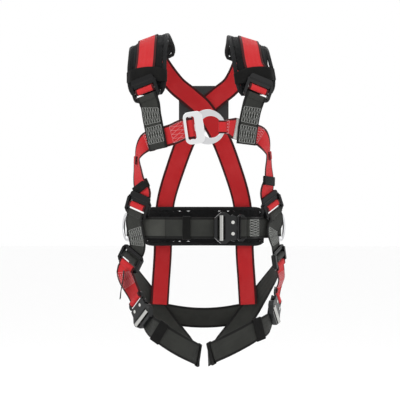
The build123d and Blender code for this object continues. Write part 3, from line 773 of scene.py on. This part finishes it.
# ---- shoulder straps and the elastic covers on the pads
shoulderStrap = {"ripple": 0.25, "coverFrom": 26, "coverLong": 24, "coverSnug": 1.5}
coverOutline = [(-47.5, 0), (-45, 4.6), (-40, 7), (-33, 9), (-22, 9), (-11, 9), (0, 9), (11, 9), (22, 9), (33, 9),
                (40, 7), (45, 4.6), (47.5, 0), (45, -5), (24, -5.8), (0, -5.8), (-24, -5.8), (-45, -5)]    # across the pad, and height


def overStrap(pad, strap, s, across, height):    # lifts the cover's middle onto the strap
    base = spot(pad, s, across, 0)
    out = normalAt(pad, s)
    nearest = min(strap["p"], key=lambda p: (p - base).length)
    top = (nearest - base).dot(out) + thick / 2 + shoulderStrap["coverSnug"]
    return max(height, top)


def addCover(bag, pad, strap, start, long, rows=9):
    n, total = len(coverOutline), rows * 2
    for k in range(total):
        outer = k < rows
        share = (k if outer else total - 1 - k) / (rows - 1)
        for u, h in coverOutline:
            arch = 7 * (1 - (u / 47.5) ** 2) * share    # the top edge arches over the strap
            s = start + long * share + arch
            reach = overStrap(pad, strap, s, u, h) if h == 9 else h
            if not outer:
                u, reach = u * 0.97, reach - math.copysign(0.8, reach)
            bag["verts"].append(spot(pad, s, u, reach) * mm)
    for k in range(total):
        j = (k + 1) % total
        for m in range(n):
            w = (m + 1) % n
            addFace(bag, (k * n + m, k * n + w, j * n + w, j * n + m), ((m, k), (m + 1, k), (m + 1, k + 1), (m, k + 1)), 0)


for s, side in sides.items():
    place = shoulderSeats[s]
    route = [at(place, barAt + 3, -behindBar), at(place, 24, -behindBar, -side)]
    route += [(p + out * onPad, out) for p, out in shoulderLines[s]]
    route += backStrap(side, under if side < 0 else upper)
    path = pathAlong(route)
    bag = newBag()
    addStrip(bag, path, 0, ripple=shoulderStrap["ripple"], seed=side)
    barLoop(bag, place)
    foot = path["total"]
    addStitches(bag, path, crossPanel(foot - 42, 34) + crossPanel(foot - 84, 34), thick / 2, 1)
    past = len(path["s"]) // 3
    top = distanceWhere({"s": path["s"][past:], "p": path["p"][past:]}, 2, 318)
    addStitches(bag, path, crossPanel(top - 52, 34), thick / 2, 1)
    node = "shoulder_strap_" + s.lower()
    makePiece(bag, "shoulderStrap" + s, [redWebbing, roseThread], "harness", (node,))
    band = newBag()
    addCover(band, padPaths[s], path, shoulderStrap["coverFrom"], shoulderStrap["coverLong"])
    cover = makePiece(band, "padCover" + s, [elasticBand])
    soften = cover.modifiers.new("soften", "SUBSURF")
    soften.levels = soften.render_levels = 2
print("shoulder straps ready")


# ---- chest webs, below the shoulder adjusters
chestWeb = {"panelTop": 253, "panelLong": 33, "panelStep": 42}
for s in sides:
    place = shoulderSeats[s]
    route = [at(place, pastBar, 0), at(place, pastBar - 10, 0)]
    route += [on(front, x, z, webLift) for x, z in chestWebEnds[s]]
    path = pathAlong(route)
    bag = newBag()
    addStrip(bag, path, 0, lift=-1.02, seed=3, ripple=0.15)
    addStrip(bag, path, 0, lift=1.02, seed=3, ripple=0.15, end=path["total"] - 1.5)
    frameLoop(bag, place)
    begin = distanceWhere(path, 2, chestWeb["panelTop"])
    for start in (begin, begin + chestWeb["panelStep"]):
        long = min(chestWeb["panelLong"], path["total"] - start - 4)
        addStitches(bag, path, crossPanel(start, long, 35), thick + 0.05, 1, 3.0)
    node = "chest_web_" + s.lower()
    makePiece(bag, "chestWeb" + s, [darkWebbing, paleThread], "harness", (node,))
print("chest webs ready")


# ---- chest straps and their plain label
chestStrap = {"panelLong": 29, "labelAt": 70, "labelLong": 17}
hookTurn = hookSeat.to_3x3()
hookLoopSeat = plane(at(hookSeat, 0, sternal["barDeep"], sternal["slotAt"])[0], -hookTurn.col[1], hookTurn.col[2])
slotAt = sternal["slotAt"]
chestRoutes = {
    "R": [at(hookSeat, 0, hookBack, slotAt - 1), at(hookSeat, 0, hookBack, slotAt - 16),
          on(front, -62, 198, middle + 3), on(front, -80, 193, middle), on(front, -98, 188, middle)],
    "L": [at(chestLoopSeat, 2, -3.6), at(chestLoopSeat, 14, -3.6), on(front, 66, 209, middle + 2),
          on(front, 80, 206, middle), on(front, 97, 202, middle)],
}
for s in sides:
    path = pathAlong(chestRoutes[s])
    bag = newBag()
    if s == "R":
        addStrip(bag, path, 0, seed=5)
        addLoop(bag, hookLoopSeat, 0, 0, 8, 4)
        begin = distanceWhere(path, 0, -44)
        addStitches(bag, path, crossPanel(begin, chestStrap["panelLong"], 34, 4), thick / 2, 1)
    else:
        addStrip(bag, path, 0, seed=6, widthAt=lambda share: 0.6 + 0.4 * min(1, share * 2.6))
        addLoop(bag, chestLoopSeat, 0, 0, 13, sternal["ringThick"] + 1.2, 0, 27)
        fold = distanceWhere(path, 0, 54)
        addStitches(bag, path, crossPanel(fold - 14, 12, 26, 4), thick / 2, 1)
        label = newBag()
        long = chestStrap["labelLong"]
        labelStart = distanceWhere(path, 0, chestStrap["labelAt"]) - long / 2
        labelLift = thick / 2 + 0.45
        addStrip(label, path, 0, 43, 0.7, labelLift, ripple=0.2, seed=6, start=labelStart, end=labelStart + long)
        hem = [[(-20, labelStart + v), (20, labelStart + v)] for v in (1.2, long - 1.2)]
        addStitches(label, path, hem, thick / 2 + 0.8, 1, 2.6)
        makePiece(label, "sizeLabel", [labelCloth, darkThread])
    node = "chest_strap_" + s.lower()
    makePiece(bag, "chestStrap" + s, [redWebbing, roseThread], "harness", (node,))
print("chest straps ready")


# ---- elastic keepers
keeperBand = {"ribs": 7}


def addKeeper(bag, path, s, long, layers, lift=0, skin=0):
    i = min(max(bisect_right(path["s"], s) - 1, 1), len(path["s"]) - 2)
    p, out = path["p"][i], path["n"][i]
    along = (path["p"][i + 1] - path["p"][i - 1]).normalized()
    place = plane(p + out * lift, along, out)    # X along the strap, so the ring's sweep runs round it
    high, deep = webbing["width"] + 3.4, layers * thick + 3.1
    ring = pathRound(place, high, deep, 2.2, 5)
    count = keeperBand["ribs"] * 4
    shape = []
    for k in range(count):
        share = k / count - 0.5
        rib = 0.8 + 0.2 * math.cos(turnAround * share * keeperBand["ribs"])
        shape.append((share, rib * min(1, (0.5 - abs(share)) * 14)))
    addStrip(bag, ring, skin, long, 1.5, 0, shape)


# ---- side straps, from the chest down to the hip adjusters
sideStrap = {"keeperAt": {"R": 87, "L": 100}, "tagAt": {"R": 143, "L": 152}, "tagLong": 17}
sideRoutes = {
    "R": [on(front, -106, 186, under - 0.8), on(front, -124, 180, under - 0.4), free(-142, -64, 150, -76),
          free(-141, -63, 120, -64), free(-138, -64, 96, -54)],
    "L": [on(front, 104, 199, under - 0.8), on(front, 121, 192, under - 0.4), free(137, -66, 160, 78),
          free(138, -62, 125, 68), free(139, -60, 96, 60)],
}
keepers = newBag()
for s in sides:
    place = hipSeats[s]
    path = pathAlong(sideRoutes[s] + [at(place, 30, -behindBar), at(place, barAt + 3, -behindBar)])
    bag = newBag()
    addStrip(bag, path, 0, seed=8)
    barLoop(bag, place)
    addStitches(bag, path, crossPanel(5, 15, 34), thick / 2, 1)
    node = "side_strap_" + s.lower()
    makePiece(bag, "sideStrap" + s, [redWebbing, roseThread], "harness", (node,))
    addKeeper(keepers, path, distanceWhere(path, 2, sideStrap["keeperAt"][s]), 19, 1)
    tag = newBag()    # small folded loop sewn on the strap
    at0 = distanceWhere(path, 2, sideStrap["tagAt"][s])
    i = min(max(bisect_right(path["s"], at0) - 1, 1), len(path["s"]) - 2)
    along = (path["p"][i + 1] - path["p"][i - 1]).normalized()
    tagPlace = plane(path["p"][i] + path["n"][i] * 3.4, along.cross(path["n"][i]), path["n"][i])
    addStrip(tag, pathRound(tagPlace, sideStrap["tagLong"], 3.6, 1.7, 5), 0, 14, 0.9)
    makePiece(tag, "loopTag" + s, [redWebbing])
print("side straps ready")


# ---- hip webs, from the hip adjusters to the thigh adjusters
hipWeb = {"panelFrom": {"R": -3, "L": -6}, "panelLong": 34}
hipMiddles = {"R": free(-146, -63, -10, -38), "L": free(147, -58, -8, 56)}
for s in sides:
    hip, thigh = hipSeats[s], thighSeats[s]
    path = pathAlong([at(hip, pastBar, 0), at(hip, pastBar - 10, 0), hipMiddles[s], at(thigh, 30, -behindBar),
                      at(thigh, barAt + 3, -behindBar)])
    bag = newBag()
    addStrip(bag, path, 0, seed=11)
    frameLoop(bag, hip)
    barLoop(bag, thigh)
    begin = distanceWhere(path, 2, hipWeb["panelFrom"][s])
    long = min(hipWeb["panelLong"], path["total"] - begin - 30)
    addStitches(bag, path, crossPanel(begin, long, 32), thick / 2, 1, 3.0)
    node = "hip_web_" + s.lower()
    makePiece(bag, "hipWeb" + s, [darkWebbing, paleThread], "harness", (node,))
print("hip webs ready")


# ---- thigh straps, down to the leg buckles
thighStrap = {"panelLong": 30, "panelFrom": 12}
thighMiddles = {"R": free(-165, -51, -112, -38), "L": free(167, -36, -112, 70)}
thighStarts = {"R": 10, "L": 8}
for s in sides:
    thigh, leg = thighSeats[s], legSeats[s]
    path = pathAlong([at(thigh, pastBar, 0), at(thigh, pastBar - thighStarts[s], 0), thighMiddles[s],
                      at(leg, tongueBar + 16, tongueBack), at(leg, tongueBar - 1, tongueBack)])
    bag = newBag()
    addStrip(bag, path, 0, seed=13)
    frameLoop(bag, thigh)
    tongueLoop(bag, leg)
    addStitches(bag, path, crossPanel(thighStrap["panelFrom"], thighStrap["panelLong"], 34), thick / 2, 1)
    node = "thigh_strap_" + s.lower()
    makePiece(bag, "thighStrap" + s, [redWebbing, roseThread], "harness", (node,))
tail = newBag()    # loose end of the wearer's right hip web, hanging edge-on
tailRoute = [free(-171, -64, -92, -84), free(-173, -64, -112, -86), free(-177, -63, -132, -88), free(-179, -62, -152, -90)]
addStrip(tail, pathAlong(tailRoute), 0, 28, seed=14)
makePiece(tail, "looseTail", [darkWebbing])
print("thigh straps ready")


# ---- leg straps, under each thigh and up behind it
legStrap = {"keepers": (0.1, 0.32), "keeperLong": 22}
legRoutes = {
    "R": [free(-101, -118, -214, -34), free(-76, -123, -231, -14), free(-46, -112, -250, 8), free(-20, -84, -266, 34),
          free(-10, -42, -276, 62), free(-14, 10, -280, 100), free(-40, 66, -262, 150), free(-84, 106, -214, 176),
          free(-122, 92, -158, 222), free(-150, 52, -112, 252), free(-163, 12, -84, 272)],
    "L": [free(124, -104, -210, 46), free(106, -115, -217, 28), free(84, -121, -229, 14), free(49, -112, -248, -8),
          free(21, -84, -264, -34), free(10, -42, -275, -62), free(14, 10, -280, -100), free(40, 66, -262, -150),
          free(84, 106, -214, -176), free(122, 92, -158, -222), free(150, 52, -112, -252), free(165, 12, -84, -275)],
}
for s in sides:
    leg = legSeats[s]
    path = pathAlong([at(leg, ribAt + 1, ribBack), at(leg, -31, ribBack)] + legRoutes[s])
    bag = newBag()
    addStrip(bag, path, 0, seed=17)
    ribLoop(bag, leg)
    end = path["total"]
    addStitches(bag, path, crossPanel(end - 40, 34) + crossPanel(end - 82, 34), thick / 2, 1)
    node = "leg_strap_" + s.lower()
    makePiece(bag, "legStrap" + s, [darkWebbing, paleThread], "harness", (node,))
    for share in legStrap["keepers"]:
        addKeeper(keepers, path, share * path["total"], legStrap["keeperLong"], 1)
seatRoute = []
for x in (-82, -55, -28, 0, 28, 55, 82):
    bow = (x / 82) ** 2
    seatRoute.append(on(back, x, -206 + 10 * bow, 3 + 11 * bow))
path = pathAlong(seatRoute)
bag = newBag()
addStrip(bag, path, 0, seed=19)
addStitches(bag, path, crossPanel(3, 30) + crossPanel(path["total"] - 33, 30), thick / 2, 1)
makePiece(bag, "seatStrap", [darkWebbing, paleThread], "harness", ("seat_strap",))
print("leg straps ready")


# ---- waist belt
waistBelt = {"side": 6, "ringRod": 3, "ringAngle": 84, "ringHeadings": {"R": 108, "L": 72}, "tabPanel": 34}
beltSide = waistBelt["side"]
beltRoute = [at(waistSeat, ribAt - 1, ribBack - 1.7), at(waistSeat, -30, ribBack - thick - webbing["gap"]),
             on(front, -8, 0, 8), on(front, -45, 0, 5), on(front, -85, 0, under)]
beltRoute += [around(-angle, 0, beltSide) for angle in (58, 78, 98)]
beltRoute += [around(angle, 0, onLumbar) for angle in (-120, -140, -160, 180, 160, 140, 120)]
beltRoute += [around(angle, 0, beltSide) for angle in (98, 78, 62)]
tailRoute = [at(waistSeat, ribAt - 1, ribBack), at(waistSeat, -30, ribBack), on(front, -8, 0, 8 + tailFold),
             on(front, -45, 0, 5 + tailFold), on(front, -80, 0, under + tailFold + 0.4)]
tabRoute = [at(waistSeat, tongueBar + 2, tongueBack), at(waistSeat, tongueBar + 18, tongueBack),
            on(front, 112, 0, beltSide + 3), around(62, 0, beltSide + tailFold), around(70, 0, beltSide + tailFold)]
belt = newBag()
addStrip(belt, pathAlong(beltRoute), 0, seed=23)
tailPath = pathAlong(tailRoute)
# painted shade: the belt's own tail takes the darker webbing finish, though it is the same webbing as the belt
addStrip(belt, tailPath, 2, seed=24)
ribLoop(belt, waistSeat)
ringLift = beltSide + waistBelt["ringRod"] + 1.5 * thick + 0.2
for s, side in sides.items():
    middleOf = around(side * waistBelt["ringAngle"], 0, ringLift)[0]
    turn = math.radians(waistBelt["ringHeadings"][s])
    place = plane(middleOf, Vector((0, 0, 1)), Vector((math.sin(turn), -math.cos(turn), 0)))
    room = 2 * waistBelt["ringRod"] + 1.2
    addLoop(belt, place, 0, 0, room, room, 0, 40)
makePiece(belt, "waistBelt", [beltWebbing, paleThread, darkWebbing], "harness", ("waist_belt",))
addKeeper(keepers, tailPath, 0.6 * tailPath["total"], 17, 3, -0.6)
tab = newBag()
path = pathAlong(tabRoute)
addStrip(tab, path, 0, seed=25)
tongueLoop(tab, waistSeat)
begin = distanceWhere(path, 0, 99)
addStitches(tab, path, crossPanel(begin, waistBelt["tabPanel"], 32), thick / 2, 1, 3.0)
makePiece(tab, "waistTab", [darkWebbing, paleThread], "harness", ("waist_tab",))
makePiece(keepers, "strapKeepers", [elasticBand], "harness", ("strap_keepers",))
print("waist belt ready")


# ---- finishes of the hard parts
finishes = {
    "adjuster": glossBlack, "_bar_": polishedBar, "housing": buckleBlack, "cover": buckleBlack, "tongue": buckleBlack,
    "grip": polishedBar, "lever_a": buckleBlack, "lever_b": buckleBlack, "rivets": rivetSteel, "springs": rivetSteel,
    "sternal_ring": ringSteel, "sternal_hook": silverSteel, "gate": silverSteel, "dorsal_plate": blackPlastic,
    "side_ring": ringSteel, "dorsal_ring": silverSteel,
}
for node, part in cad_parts.items():
    for word, finish in finishes.items():
        if word in node:
            part.data.materials.clear()
            part.data.materials.append(finish)
            break


def makeFloor():
    low = cadBounds[0].z - stageSetup["floorBelow"] * mm
    half = stageSetup["floorSize"] / 2 * mm
    mesh = bpy.data.meshes.new("floor")
    corners = [(-half, -half, low), (half, -half, low), (half, half, low), (-half, half, low)]
    mesh.from_pydata(corners, [], [(0, 1, 2, 3)])
    mesh.materials.append(floorPaint)
    floor = bpy.data.objects.new("floor", mesh)
    bpy.context.scene.collection.objects.link(floor)


makeFloor()
bpy.context.view_layer.update()
